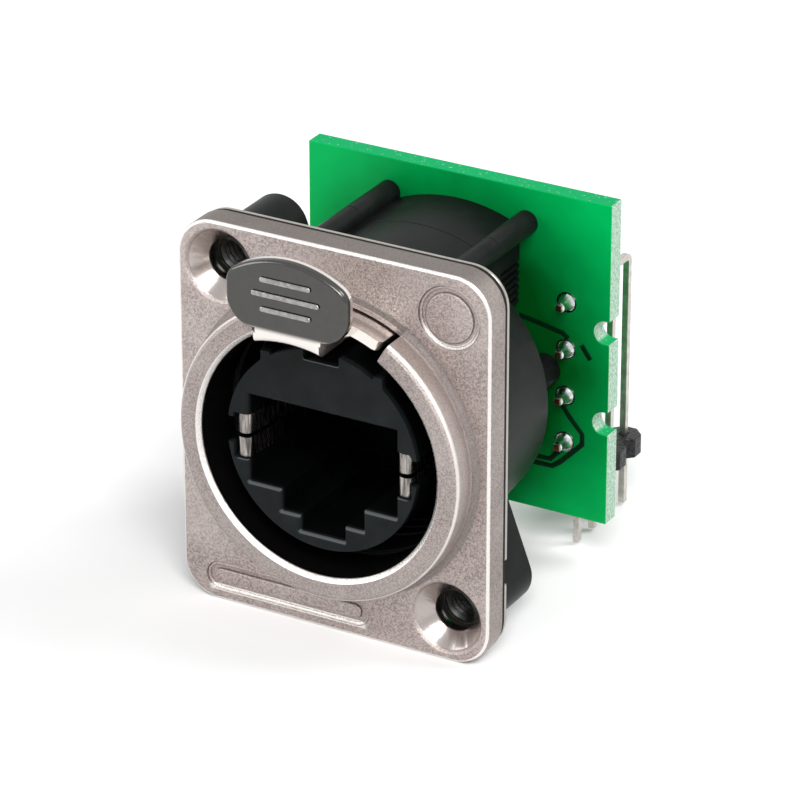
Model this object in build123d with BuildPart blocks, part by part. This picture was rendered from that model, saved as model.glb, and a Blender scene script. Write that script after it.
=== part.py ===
from build123d import *

import os
from math import sqrt

# Ethernet panel connector, in millimetres.
# The panel lies in the XZ plane, +Z is up, the plug enters along +Y from the front, and the origin is
# on the port's axis in the rear face of the metal flange.

# Flange: the die-cast front shell with its raised ring around the port
port_bore_radius = 9.85
port_bevel = 0.35
ring_wall = 1.85
ring_height = 2.5
ring_foot_radius = 0.6
ring_rim_bevel = 0.35
flange_side_land = 1.3
flange_height = 31.0
flange_thickness = 2.2
flange_corner_radius = 3.0
flange_edge_radius = 0.3
badge_recess_inset = 3.4
badge_recess_radius = 2.5
plate_recess_inset_x = 9.0
plate_recess_inset_z = 2.0
plate_recess_length = 14.0
plate_recess_height = 2.3
recess_depth = 0.2

# Screws at two opposite corners
screw_inset = 3.5
screw_hole_radius = 1.6
countersink_radius = 2.95
bush_wall = 0.4
bush_rear = 5.8

# Sheets behind the flange
gasket_thickness = 0.45
ground_plate_thickness = 0.3
sheet_inset = 0.1
sheet_bore_gap = 0.25
ground_notch_z = -8.6
ground_notch_height = 2.0
ground_notch_depth = 0.6

# Housing: the moulded barrel with its ears and latch chamber
barrel_wall = 1.85
barrel_taper = 0.8
barrel_rear = 10.8
rear_wall_thickness = 1.2
bore_groove_count = 3
bore_groove_pitch = 1.4
bore_groove_width = 0.5
bore_groove_depth = 0.15
ear_radius = 2.4
ear_web_shift = 4.9
ear_rear = 6.7
chamber_wall = 0.5
post_x = 5.85
post_z = 11.65
post_radius = 0.95
block_half_width = 5.3
block_roof_radius = 12.4
block_floor = 5.0
rib_count = 6
rib_pitch = 0.57
rib_groove_height = 0.28
rib_groove_depth = 0.35
rib_length = 3.0
peg_x = 7.6
peg_radius = 1.3
spigot_radius = 0.8
spigot_stand = 0.5

# Latch: push plate, neck, curved band, lugs, tongue and hook, with its return spring
latch_travel = 1.8
push_width = 9.95
push_height = 5.7
push_lap = 0.05
push_crown_radius = 8.2
push_shoulder_radius = 1.4
push_heel_radius = 2.2
push_thickness = 0.9
push_edge_radius = 0.3
push_front = -8.7
neck_width = 5.4
neck_bend_radius = 0.6
band_lift = 0.5
band_thickness = 0.85
band_half_angle = 27.5
band_front = -4.2
lug_half_angle = 33.5
lug_length = 0.5
lug_gap = 0.1
tongue_thickness = 0.7
tongue_half_angle = 20.0
tongue_rear = 4.4
hook_reach = 1.2
hook_half_angle = 8.0
hook_length = 1.8
slide_gap = 0.2
slot_gap = 0.12
slot_side_angle = 2.8
guide_side_angle = 1.0
spring_radius = 0.42
spring_wire_radius = 0.08
spring_wire_sides = 6
spring_coils = 6

# Jack insert and what it holds
insert_radius = 8.0
insert_front = -3.84
key_width = 2.9
key_floor = 7.1
guide_rib_x = 4.7
guide_rib_width = 0.8
guide_rib_top = 7.0
jack_half_width = 6.2
jack_top = 3.1
jack_floor = -3.95
step_half_width = 3.45
step_floor = -5.7
tab_half_width = 1.85
tab_floor = -6.95
jack_depth = 11.8
mouth_bevel = 0.2

# Sprung contacts and their comb
contact_count = 8
contact_pitch = 1.016
contact_wire = 0.35
contact_gap = 0.03
contact_tip_y = 4.6
contact_tip_z = 0.5
contact_drop = 2.0
contact_drop_y = 12.6
contact_bend_radius = 0.35
contact_nose = 0.45
contact_fold = 1.35
contact_stand = 0.7
carrier_front = 0.9
carrier_height = 1.1
carrier_half_width = 4.4
carrier_gap = 0.1
carrier_reach = 1.6

# Shield springs: folded strip with two fingers a side
shield_thickness = 0.2
shield_pocket_depth = 1.25
shield_top = 1.35
shield_floor = -2.15
shield_split = 0.3
shield_fold_radius = 0.5
shield_bulge = 0.33
shield_crest = 2.4
shield_length = 8.2
shield_bridge = 2.4
shield_gap = 0.05
window_half_height = 1.0
window_length = 5.0

# Circuit board, right-angle pins, headers and joints
board_front = 16.6
board_thickness = 1.6
board_width = 25.8
board_height = 26.25
board_centre_z = 1.25
board_notch_upper_z = 4.0
board_notch_lower_z = -3.5
board_notch_radius = 0.95
board_notch_depth = 1.3
pin_inset = 3.6
pin_row_pitch = 3.85
pin_top_z = 5.85
pin_rows = 4
pin_size = 0.6
pin_pitch = 2.54
pin_first_gap = 0.8
pin_stand = 1.4
pin_tip_z = -15.3
pin_bend_radius = 0.5
pin_point = 0.12
board_hole_gap = 0.1
joint_base_radius = 0.8
joint_waist_radius = 0.58
joint_neck_radius = 0.47
joint_height = 1.05
header_sides = 8
header_height = 1.6
header_floor = -10.9
header_gap = 0.03

# How far a cut runs into space that is already open
cut_overlap = 1.0

# Places that follow from the sizes above
ring_outer_radius = port_bore_radius + ring_wall
flange_width = 2 * (ring_outer_radius + flange_side_land)
barrel_front_radius = port_bore_radius + barrel_wall
band_inner_radius = port_bore_radius + band_lift
band_outer_radius = band_inner_radius + band_thickness
tongue_inner_radius = band_outer_radius - tongue_thickness
push_bottom = band_outer_radius - push_lap
push_top = push_bottom + push_height
seat_y = gasket_thickness + ground_plate_thickness
wall_front = barrel_rear - rear_wall_thickness
board_rear = board_front + board_thickness
pin_first_drop = board_rear + pin_first_gap
slot_radius = band_outer_radius + slot_gap
slot_half_angle = band_half_angle + slot_side_angle
band_rear = seat_y + lug_gap + lug_length
pocket_rear = band_rear + latch_travel + slide_gap
chamber_rear = pocket_rear + chamber_wall
channel_inner_radius = tongue_inner_radius - slide_gap
channel_outer_radius = band_outer_radius + slide_gap
channel_rear = wall_front - chamber_wall
screw_x = flange_width / 2 - screw_inset
screw_z = flange_height / 2 - screw_inset
screw_points = [(-screw_x, screw_z), (screw_x, -screw_z)]
web_turn = ear_web_shift / sqrt(screw_x**2 + screw_z**2)
badge_place = (flange_width / 2 - badge_recess_inset, flange_height / 2 - badge_recess_inset)
plate_place = (plate_recess_inset_x - flange_width / 2, plate_recess_inset_z - flange_height / 2)
pin_x = board_width / 2 - pin_inset
contact_run_z = jack_top + carrier_height - contact_wire / 2
shield_outer_x = jack_half_width + shield_pocket_depth - shield_gap - shield_thickness / 2
pin_places = [
    (side * pin_x, pin_top_z - row * pin_row_pitch, pin_first_drop + (pin_rows - 1 - row) * pin_pitch)
    for side in (-1, 1)
    for row in range(pin_rows)
]

os.makedirs("parts", exist_ok=True)


def at(y):
    """Plane at depth y that faces the front, with local x across and local y up."""
    return Plane.XZ.offset(-y)


def ring_segment(inner_radius, outer_radius, half_angle):
    """Sketch of a stretch of ring, centred on the top of the port."""
    with BuildSketch() as segment:
        with BuildLine():
            outer = CenterArc((0, 0), outer_radius, 90 - half_angle, 2 * half_angle)
            inner = CenterArc((0, 0), inner_radius, 90 - half_angle, 2 * half_angle)
            Line(outer @ 0, inner @ 0)
            Line(outer @ 1, inner @ 1)
        make_face()
    return segment.sketch


def slot_profile():
    """Sketch of the latch slot, from inside the port to the band's outer clearance."""
    return ring_segment(port_bore_radius - cut_overlap, slot_radius, slot_half_angle)


def sheet_profile():
    """Sketch of the outline that the gasket and the ground plate share."""
    with BuildSketch() as profile:
        RectangleRounded(
            flange_width - 2 * sheet_inset,
            flange_height - 2 * sheet_inset,
            flange_corner_radius - sheet_inset,
        )
        Circle(port_bore_radius + sheet_bore_gap, mode=Mode.SUBTRACT)
        add(slot_profile(), mode=Mode.SUBTRACT)
        with Locations(*screw_points):
            Circle(screw_hole_radius, mode=Mode.SUBTRACT)
    return profile.sketch


def block_profile():
    """Sketch of the flat-sided block under the arched roof, with its two posts."""
    with BuildSketch() as profile:
        Circle(block_roof_radius)
        with Locations((0, block_floor)):
            Rectangle(
                2 * block_half_width,
                block_roof_radius,
                align=(Align.CENTER, Align.MIN),
                mode=Mode.INTERSECT,
            )
        with Locations((-post_x, post_z), (post_x, post_z)):
            Circle(post_radius)
    return profile.sketch


def jack_profile():
    """Sketch of the jack's opening: the plug's body, the step and the tab's channel."""
    with BuildSketch() as profile:
        for half_width, floor in (
            (jack_half_width, jack_floor),
            (step_half_width, step_floor),
            (tab_half_width, tab_floor),
        ):
            with Locations((0, floor)):
                Rectangle(2 * half_width, jack_top - floor, align=(Align.CENTER, Align.MIN))
    return profile.sketch


def export(part, name):
    """Name a finished piece and write it to its own file."""
    part.label = name
    export_step(part, f"parts/{name}.step")


# Flange
with BuildPart() as flange:
    with BuildSketch(at(0)):
        RectangleRounded(flange_width, flange_height, flange_corner_radius)
    extrude(amount=flange_thickness)
    fillet(flange.faces().sort_by(Axis.Y)[0].edges(), flange_edge_radius)
    with BuildSketch(at(-flange_thickness)):
        Circle(ring_outer_radius)
    extrude(amount=ring_height)
    ring_edges = flange.edges().filter_by(GeomType.CIRCLE).group_by(SortBy.RADIUS)[-1].sort_by(Axis.Y)
    fillet(ring_edges[-1], ring_foot_radius)
    rim_edge = flange.faces().sort_by(Axis.Y)[0].edges()
    chamfer(rim_edge, ring_rim_bevel)
    with BuildSketch(at(0)):
        Circle(port_bore_radius)
    extrude(amount=flange_thickness + ring_height, mode=Mode.SUBTRACT)
    bore_edge = flange.faces().sort_by(Axis.Y)[0].edges().sort_by(SortBy.RADIUS)[0]
    chamfer(bore_edge, port_bevel)
    with BuildSketch(at(0)):
        add(slot_profile())
    extrude(amount=flange_thickness + ring_height, mode=Mode.SUBTRACT)
    gap_radius = ring_outer_radius + 2 * ring_foot_radius
    with BuildSketch(at(-flange_thickness)):
        add(ring_segment(port_bore_radius - cut_overlap, gap_radius, slot_half_angle))
    extrude(amount=ring_height, mode=Mode.SUBTRACT)
    with Locations(*[Plane((x, -flange_thickness, z), (1, 0, 0), (0, -1, 0)) for x, z in screw_points]):
        CounterSinkHole(screw_hole_radius, countersink_radius, flange_thickness, 90)
    with BuildSketch(at(-flange_thickness)):
        with Locations(badge_place):
            Circle(badge_recess_radius)
        with Locations(plate_place):
            SlotOverall(plate_recess_length, plate_recess_height)
    extrude(amount=-recess_depth, mode=Mode.SUBTRACT)
export(flange.part, "flange")

# Gasket
with BuildPart() as gasket:
    with BuildSketch(at(gasket_thickness)):
        add(sheet_profile())
    extrude(amount=gasket_thickness)
export(gasket.part, "gasket")

# Ground plate
with BuildPart() as ground_plate:
    with BuildSketch(at(seat_y)):
        add(sheet_profile())
        with Locations((flange_width / 2 - sheet_inset, ground_notch_z)):
            Rectangle(2 * ground_notch_depth, ground_notch_height, mode=Mode.SUBTRACT)
    extrude(amount=ground_plate_thickness)
export(ground_plate.part, "ground_plate")

# Housing
with BuildPart() as housing:
    with BuildSketch(at(seat_y)):
        Circle(barrel_front_radius)
    with BuildSketch(at(barrel_rear)):
        Circle(barrel_front_radius - barrel_taper)
    loft()
    for x, z in screw_points:
        with BuildSketch(at(ear_rear)):
            with Locations((x, z), (-z * web_turn, x * web_turn)):
                Circle(ear_radius)
            make_hull()
        extrude(amount=ear_rear - seat_y)
    with BuildSketch(at(chamber_rear)):
        add(ring_segment(port_bore_radius, slot_radius + chamber_wall, lug_half_angle + slot_side_angle))
    extrude(amount=chamber_rear - seat_y)
    with BuildSketch(at(barrel_rear)):
        add(block_profile())
    extrude(amount=barrel_rear - chamber_rear)
    with BuildSketch(at(wall_front)):
        Circle(port_bore_radius)
    extrude(amount=wall_front - seat_y, mode=Mode.SUBTRACT)
    for index in range(bore_groove_count):
        groove_rear = pocket_rear + bore_groove_width + index * bore_groove_pitch
        with BuildSketch(at(groove_rear)):
            Circle(port_bore_radius + bore_groove_depth)
        extrude(amount=bore_groove_width, mode=Mode.SUBTRACT)
    with BuildSketch(at(pocket_rear)):
        add(ring_segment(port_bore_radius - cut_overlap, slot_radius, lug_half_angle + guide_side_angle))
    extrude(amount=pocket_rear - seat_y, mode=Mode.SUBTRACT)
    with BuildSketch(at(channel_rear)):
        add(ring_segment(channel_inner_radius, channel_outer_radius, tongue_half_angle + guide_side_angle))
    extrude(amount=channel_rear - seat_y, mode=Mode.SUBTRACT)
    hook_slot_rear = tongue_rear + latch_travel + slide_gap
    hook_slot_angle = hook_half_angle + guide_side_angle
    with BuildSketch(at(hook_slot_rear)):
        add(ring_segment(port_bore_radius - cut_overlap, channel_outer_radius, hook_slot_angle))
    extrude(amount=hook_slot_rear - seat_y, mode=Mode.SUBTRACT)
    with BuildSketch(at(barrel_rear)):
        with Locations((0, jack_top)):
            Rectangle(
                2 * (carrier_half_width + carrier_gap),
                carrier_height + carrier_gap,
                align=(Align.CENTER, Align.MIN),
            )
    extrude(amount=rear_wall_thickness, mode=Mode.SUBTRACT)
    with BuildSketch(at(ear_rear)):
        with Locations(*screw_points):
            Circle(screw_hole_radius)
    extrude(amount=ear_rear - seat_y, mode=Mode.SUBTRACT)
    with BuildSketch(at(bush_rear)):
        with Locations(*screw_points):
            Circle(screw_hole_radius + bush_wall + contact_gap)
    extrude(amount=bush_rear - seat_y, mode=Mode.SUBTRACT)
    with BuildSketch(at(board_front)):
        with Locations((-peg_x, 0), (peg_x, 0)):
            Circle(peg_radius)
    extrude(amount=board_front - barrel_rear)
    with BuildSketch(at(board_rear + spigot_stand)):
        with Locations((-peg_x, 0), (peg_x, 0)):
            Circle(spigot_radius)
    extrude(amount=board_thickness + spigot_stand)
export(housing.part, "housing")

# Rear block
with BuildPart() as rear_block:
    with BuildSketch(at(board_front)):
        add(block_profile())
    extrude(amount=board_front - barrel_rear)
    grooves = [
        (side * block_half_width, block_floor + rib_groove_height + index * rib_pitch)
        for side in (-1, 1)
        for index in range(rib_count)
    ]
    with BuildSketch(at(board_front)):
        with Locations(*grooves):
            Rectangle(2 * rib_groove_depth, rib_groove_height, align=(Align.CENTER, Align.MIN))
    extrude(amount=rib_length, mode=Mode.SUBTRACT)
export(rear_block.part, "rear_block")

# Screw bushes
for name, (x, z) in zip(("screw_bush_left", "screw_bush_right"), screw_points):
    with BuildPart() as bush:
        with BuildSketch(at(bush_rear)):
            with Locations((x, z)):
                Circle(screw_hole_radius + bush_wall)
                Circle(screw_hole_radius, mode=Mode.SUBTRACT)
        extrude(amount=bush_rear - seat_y)
    export(bush.part, name)

# Latch
with BuildPart() as latch:
    with BuildSketch(at(push_front + push_thickness)) as push_outline:
        with Locations((0, push_bottom)):
            Rectangle(push_width, push_top - push_bottom, align=(Align.CENTER, Align.MIN))
        with Locations((0, push_top - push_crown_radius)):
            Circle(push_crown_radius, mode=Mode.INTERSECT)
        fillet(push_outline.vertices().group_by(Axis.Y)[0], push_heel_radius)
        fillet(push_outline.vertices().group_by(Axis.Y)[-1], push_shoulder_radius)
        with Locations((0, band_inner_radius)):
            Rectangle(neck_width, push_heel_radius, align=(Align.CENTER, Align.MIN))
    extrude(amount=push_thickness)
    fillet(latch.faces().sort_by(Axis.Y)[0].edges(), push_edge_radius)
    with BuildSketch(at(band_front)):
        Circle(band_outer_radius)
        Circle(band_inner_radius, mode=Mode.SUBTRACT)
        with Locations((0, band_inner_radius)):
            Rectangle(neck_width, band_outer_radius, mode=Mode.INTERSECT)
    extrude(amount=band_front - push_front)
    neck_edge = latch.faces().sort_by(Axis.Y)[0].edges().sort_by(Axis.Z)[0]
    fillet(neck_edge, neck_bend_radius)
    with BuildSketch(at(band_rear)):
        add(ring_segment(band_inner_radius, band_outer_radius, band_half_angle))
    extrude(amount=band_rear - band_front)
    with BuildSketch(at(band_rear)):
        add(ring_segment(band_inner_radius, band_outer_radius, lug_half_angle))
    extrude(amount=lug_length)
    with BuildSketch(at(tongue_rear)):
        add(ring_segment(tongue_inner_radius, band_outer_radius, tongue_half_angle))
    extrude(amount=tongue_rear - seat_y)
    with BuildSketch(at(tongue_rear)):
        add(ring_segment(tongue_inner_radius - hook_reach, band_outer_radius, hook_half_angle))
    extrude(amount=hook_length)
export(latch.part, "latch")

# Latch spring
spring_length = channel_rear - tongue_rear
spring_centre = (channel_inner_radius + channel_outer_radius) / 2
with BuildPart() as latch_spring:
    with BuildLine() as spring_path:
        Helix(
            (spring_length - 2 * spring_wire_radius) / spring_coils,
            spring_length - 2 * spring_wire_radius,
            spring_radius,
            center=(0, tongue_rear + spring_wire_radius, spring_centre),
            direction=(0, 1, 0),
        )
    with BuildSketch(Plane(spring_path.line @ 0, z_dir=spring_path.line % 0)):
        RegularPolygon(spring_wire_radius, spring_wire_sides)
    sweep()
export(latch_spring.part, "latch_spring")

# Jack insert
slot_front = carrier_front - contact_nose - contact_wire - contact_gap
with BuildPart() as jack_insert:
    with BuildSketch(at(wall_front)):
        Circle(insert_radius)
        with Locations((-guide_rib_x, 0), (guide_rib_x, 0)):
            Rectangle(guide_rib_width, guide_rib_top, align=(Align.CENTER, Align.MIN))
        with Locations((0, key_floor)):
            Rectangle(key_width, insert_radius, align=(Align.CENTER, Align.MIN), mode=Mode.SUBTRACT)
    extrude(amount=wall_front - insert_front)
    with BuildSketch(at(insert_front + jack_depth)):
        add(jack_profile())
    extrude(amount=jack_depth, mode=Mode.SUBTRACT)
    chamfer(jack_insert.faces().sort_by(Axis.Y)[0].inner_wires()[0].edges(), mouth_bevel)
    with BuildSketch(at(wall_front)):
        with Locations((0, jack_top)):
            Rectangle(
                2 * (carrier_half_width + carrier_gap),
                carrier_height + carrier_gap,
                align=(Align.CENTER, Align.MIN),
            )
    extrude(amount=wall_front - slot_front, mode=Mode.SUBTRACT)
    with BuildSketch(at(insert_front + shield_length + shield_gap)):
        with Locations((0, shield_floor - shield_gap)):
            Rectangle(
                2 * (jack_half_width + shield_pocket_depth),
                shield_top - shield_floor + 2 * shield_gap,
                align=(Align.CENTER, Align.MIN),
            )
    extrude(amount=shield_length + shield_gap, mode=Mode.SUBTRACT)
    with BuildSketch(at(insert_front + window_length)):
        Rectangle(2 * insert_radius, 2 * window_half_height)
    extrude(amount=window_length, mode=Mode.SUBTRACT)
export(jack_insert.part, "jack_insert")

# Contact carrier
carrier_rear = barrel_rear + carrier_reach
contact_places = [(index - (contact_count - 1) / 2) * contact_pitch for index in range(contact_count)]
with BuildPart() as contact_carrier:
    with BuildSketch(at(carrier_rear)):
        with Locations((0, jack_top)):
            Rectangle(2 * carrier_half_width, carrier_height, align=(Align.CENTER, Align.MIN))
        with Locations(*[(x, contact_run_z - contact_wire / 2) for x in contact_places]):
            Rectangle(
                contact_wire + 2 * contact_gap,
                carrier_height,
                align=(Align.CENTER, Align.MIN),
                mode=Mode.SUBTRACT,
            )
    extrude(amount=carrier_rear - carrier_front)
export(contact_carrier.part, "contact_carrier")

# Contacts: every second tail drops to a lower row of holes in the board
contact_nose_y = carrier_front - contact_nose
contact_tail_y = board_rear + contact_stand
tail_rows = [contact_run_z - contact_drop * (index % 2) for index in range(contact_count)]
for index, (x, tail_z) in enumerate(zip(contact_places, tail_rows), start=1):
    tail = [(contact_tail_y, tail_z)]
    if tail_z < contact_run_z:
        tail += [(contact_drop_y, tail_z), (contact_drop_y, contact_run_z)]
    with BuildPart() as contact:
        with BuildSketch(Plane.YZ.offset(x)):
            with BuildLine():
                FilletPolyline(
                    *tail,
                    (contact_nose_y, contact_run_z),
                    (contact_nose_y, contact_run_z - contact_fold),
                    (contact_tip_y, contact_tip_z),
                    radius=contact_bend_radius,
                )
            trace(line_width=contact_wire)
        extrude(amount=contact_wire / 2, both=True)
    export(contact.part, f"contact_{index}")

# Shield springs
shield_front_y = insert_front + shield_gap + shield_thickness
shield_rear_y = insert_front + shield_length
shield_inner_x = shield_outer_x - 2 * shield_fold_radius
finger_height = (shield_top - shield_floor - shield_split) / 2
for side, name in ((-1, "shield_spring_left"), (1, "shield_spring_right")):
    with BuildPart() as shield_spring:
        for finger_floor in (shield_floor, shield_top - finger_height):
            with BuildSketch(Plane.XY.offset(finger_floor)):
                with BuildLine():
                    FilletPolyline(
                        (side * shield_outer_x, shield_rear_y),
                        (side * shield_outer_x, shield_front_y),
                        (side * shield_inner_x, shield_front_y),
                        (side * (shield_inner_x - shield_bulge), shield_front_y + shield_crest),
                        (side * shield_inner_x, shield_front_y + 2 * shield_crest),
                        radius=shield_fold_radius - shield_gap / 2,
                    )
                trace(line_width=shield_thickness)
            extrude(amount=finger_height)
        with BuildSketch(Plane.XY.offset(shield_floor)):
            with Locations((side * shield_outer_x, shield_rear_y)):
                Rectangle(shield_thickness, shield_bridge, align=(Align.CENTER, Align.MAX))
        extrude(amount=shield_top - shield_floor)
    export(shield_spring.part, name)

# Circuit board
with BuildPart() as circuit_board:
    with BuildSketch(at(board_rear)):
        with Locations((0, board_centre_z)):
            Rectangle(board_width, board_height)
        for z in (board_notch_upper_z, board_notch_lower_z):
            for side in (-1, 1):
                with Locations((side * board_width / 2, z)):
                    SlotCenterToCenter(
                        2 * (board_notch_depth - board_notch_radius),
                        2 * board_notch_radius,
                        mode=Mode.SUBTRACT,
                    )
        with Locations(*[(x, z) for x, z, drop_y in pin_places]):
            Circle(pin_size * sqrt(0.5) + board_hole_gap, mode=Mode.SUBTRACT)
        with Locations(*zip(contact_places, tail_rows)):
            Circle(contact_wire * sqrt(0.5) + board_hole_gap, mode=Mode.SUBTRACT)
        with Locations((-peg_x, 0), (peg_x, 0)):
            Circle(spigot_radius + contact_gap, mode=Mode.SUBTRACT)
    extrude(amount=board_thickness)
export(circuit_board.part, "circuit_board")

# Right-angle pins: each runs back from its joint and turns down, the top row furthest back
for index, (x, z, drop_y) in enumerate(pin_places, start=1):
    with BuildPart() as board_pin:
        with BuildSketch(Plane.YZ.offset(x)):
            with BuildLine():
                FilletPolyline(
                    (board_front - pin_stand, z),
                    (drop_y, z),
                    (drop_y, pin_tip_z),
                    radius=pin_bend_radius,
                )
            trace(line_width=pin_size)
        extrude(amount=pin_size / 2, both=True)
        chamfer(board_pin.faces().sort_by(Axis.Z)[0].edges(), pin_point)
    export(board_pin.part, f"board_pin_{index}")

# Pin headers: one eight-sided cell for each pin, joined in a row
for side, name in ((-1, "pin_header_left"), (1, "pin_header_right")):
    drops = [(x, drop_y) for x, z, drop_y in pin_places if x * side > 0]
    with BuildPart() as pin_header:
        with BuildSketch(Plane.XY.offset(header_floor)):
            with Locations(*drops):
                RegularPolygon(pin_pitch / 2, header_sides, major_radius=False, rotation=180 / header_sides)
            with Locations((side * pin_x, board_rear + header_gap)):
                Rectangle(
                    pin_pitch,
                    pin_rows * pin_pitch,
                    align=(Align.CENTER, Align.MIN),
                    mode=Mode.INTERSECT,
                )
            with Locations(*drops):
                Rectangle(pin_size + 2 * header_gap, pin_size + 2 * header_gap, mode=Mode.SUBTRACT)
        extrude(amount=header_height)
    export(pin_header.part, name)

# Solder joints: a two-step cone around each pin, on the front of the board
with BuildPart() as solder_joints:
    for x, z, drop_y in pin_places:
        with BuildSketch(Plane.YZ.offset(x)):
            with BuildLine():
                Polyline(
                    (board_front - joint_height, z),
                    (board_front, z),
                    (board_front, z + joint_base_radius),
                    (board_front - joint_height / 3, z + joint_waist_radius),
                    (board_front - joint_height, z + joint_neck_radius),
                    close=True,
                )
            make_face()
        revolve(axis=Axis((x, 0, z), (0, 1, 0)))
    with BuildSketch(at(board_front)):
        with Locations(*[(x, z) for x, z, drop_y in pin_places]):
            Rectangle(pin_size, pin_size)
    extrude(amount=joint_height, mode=Mode.SUBTRACT)
export(solder_joints.part, "solder_joints")
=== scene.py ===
"""Ethernet panel connector: finishes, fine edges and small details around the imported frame."""

from __future__ import annotations

import logging
from dataclasses import dataclass
from enum import Enum
from math import cos, pi, radians, sin
from typing import Optional, Sequence, Union

import bpy
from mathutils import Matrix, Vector


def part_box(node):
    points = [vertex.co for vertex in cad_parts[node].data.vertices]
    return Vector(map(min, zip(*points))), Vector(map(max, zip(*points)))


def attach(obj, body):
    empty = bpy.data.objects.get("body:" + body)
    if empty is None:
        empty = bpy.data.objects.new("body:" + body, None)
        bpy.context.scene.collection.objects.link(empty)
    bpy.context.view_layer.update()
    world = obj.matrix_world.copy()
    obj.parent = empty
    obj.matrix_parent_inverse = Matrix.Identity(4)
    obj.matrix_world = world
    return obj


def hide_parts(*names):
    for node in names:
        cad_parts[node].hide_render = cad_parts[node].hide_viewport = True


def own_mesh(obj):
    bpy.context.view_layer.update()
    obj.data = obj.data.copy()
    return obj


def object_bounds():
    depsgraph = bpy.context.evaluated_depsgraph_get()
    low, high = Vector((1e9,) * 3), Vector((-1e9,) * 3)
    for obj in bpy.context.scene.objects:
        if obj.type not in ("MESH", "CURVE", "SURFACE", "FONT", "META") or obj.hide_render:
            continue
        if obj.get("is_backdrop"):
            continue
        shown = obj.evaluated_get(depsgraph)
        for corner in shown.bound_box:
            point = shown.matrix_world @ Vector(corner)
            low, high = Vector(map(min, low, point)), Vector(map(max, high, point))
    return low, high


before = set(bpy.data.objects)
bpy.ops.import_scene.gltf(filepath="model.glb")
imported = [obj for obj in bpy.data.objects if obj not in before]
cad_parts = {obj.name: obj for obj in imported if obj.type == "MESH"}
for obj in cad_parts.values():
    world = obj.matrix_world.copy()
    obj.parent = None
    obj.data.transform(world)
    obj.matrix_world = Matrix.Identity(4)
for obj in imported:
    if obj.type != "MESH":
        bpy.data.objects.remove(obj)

MM = 0.001
LOG = logging.getLogger("panel_connector")


class Slot(Enum):
    """Material slots of the record."""

    CAST_NICKEL = "satin_nickel"
    GASKET = "gasket_rubber"
    SHEET = "bright_sheet"
    MOULDING = "black_moulding"
    JACK = "jack_plastic"
    BUSH = "bush_steel"
    BRIGHT_NICKEL = "bright_nickel"
    SPRING = "spring_steel"
    BOARD = "green_board"
    SOLDER = "solder"
    HEADER = "header_plastic"
    GOLD = "contact_gold"
    PIN = "pin_tin"


class Body(Enum):
    """Bodies of the frame."""

    CONNECTOR = "connector"
    LATCH = "latch"


Number = Union[int, float]
Pair = tuple[float, float]
Colour = tuple[float, float, float]
Piece = bpy.types.Object

BLACK = (0.0, 0.0, 0.0)
WHITE = (1.0, 1.0, 1.0, 1.0)


class Link:
    """One output socket, on which Python's operators add Math nodes."""

    def __init__(self, book: NodeBook, socket: bpy.types.NodeSocket) -> None:
        """Keep the socket and the book that owns it."""
        self.book = book
        self.socket = socket

    def maths(self, operation: str, *values: Union[Link, Number]) -> Link:
        """Add one Math node.

        Args:
            operation: the Math node's operation.
            values: its inputs in order.

        Returns:
            The node's output.
        """
        return self.book.node("ShaderNodeMath", {"operation": operation}, dict(enumerate(values)))

    def __add__(self, other: Union[Link, Number]) -> Link:
        """Sum."""
        return self.maths("ADD", self, other)

    def __radd__(self, other: Number) -> Link:
        """Sum, reflected."""
        return self.maths("ADD", other, self)

    def __sub__(self, other: Union[Link, Number]) -> Link:
        """Difference."""
        return self.maths("SUBTRACT", self, other)

    def __rsub__(self, other: Number) -> Link:
        """Difference, reflected."""
        return self.maths("SUBTRACT", other, self)

    def __mul__(self, other: Union[Link, Number]) -> Link:
        """Product."""
        return self.maths("MULTIPLY", self, other)

    def __rmul__(self, other: Number) -> Link:
        """Product, reflected."""
        return self.maths("MULTIPLY", other, self)

    def __truediv__(self, other: Union[Link, Number]) -> Link:
        """Quotient."""
        return self.maths("DIVIDE", self, other)

    def __abs__(self) -> Link:
        """Size without its sign."""
        return self.maths("ABSOLUTE", self)

    def root(self) -> Link:
        """Square root."""
        return self.maths("SQRT", self)

    def larger(self, other: Union[Link, Number]) -> Link:
        """The larger of two."""
        return self.maths("MAXIMUM", self, other)

    def step(self, start: Number, end: Number) -> Link:
        """Rise smoothly from 0 at start to 1 at end, or fall where start is larger.

        Args:
            start: value that gives 0.
            end: value that gives 1.

        Returns:
            The smooth step.
        """
        values = {"Value": self, "From Min": start, "From Max": end}
        return self.book.node("ShaderNodeMapRange", {"interpolation_type": "SMOOTHSTEP"}, values)

    def edge(self, base: Number, offsets: Pair) -> Link:
        """Step between two offsets from a base.

        Args:
            base: the place that the offsets count from.
            offsets: where the step is 0, and where it is 1.

        Returns:
            The smooth step.
        """
        return self.step(base + offsets[0], base + offsets[1])


def length(across: Link, up: Link) -> Link:
    """Length of two parts at right angles."""
    return (across * across + up * up).root()


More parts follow.
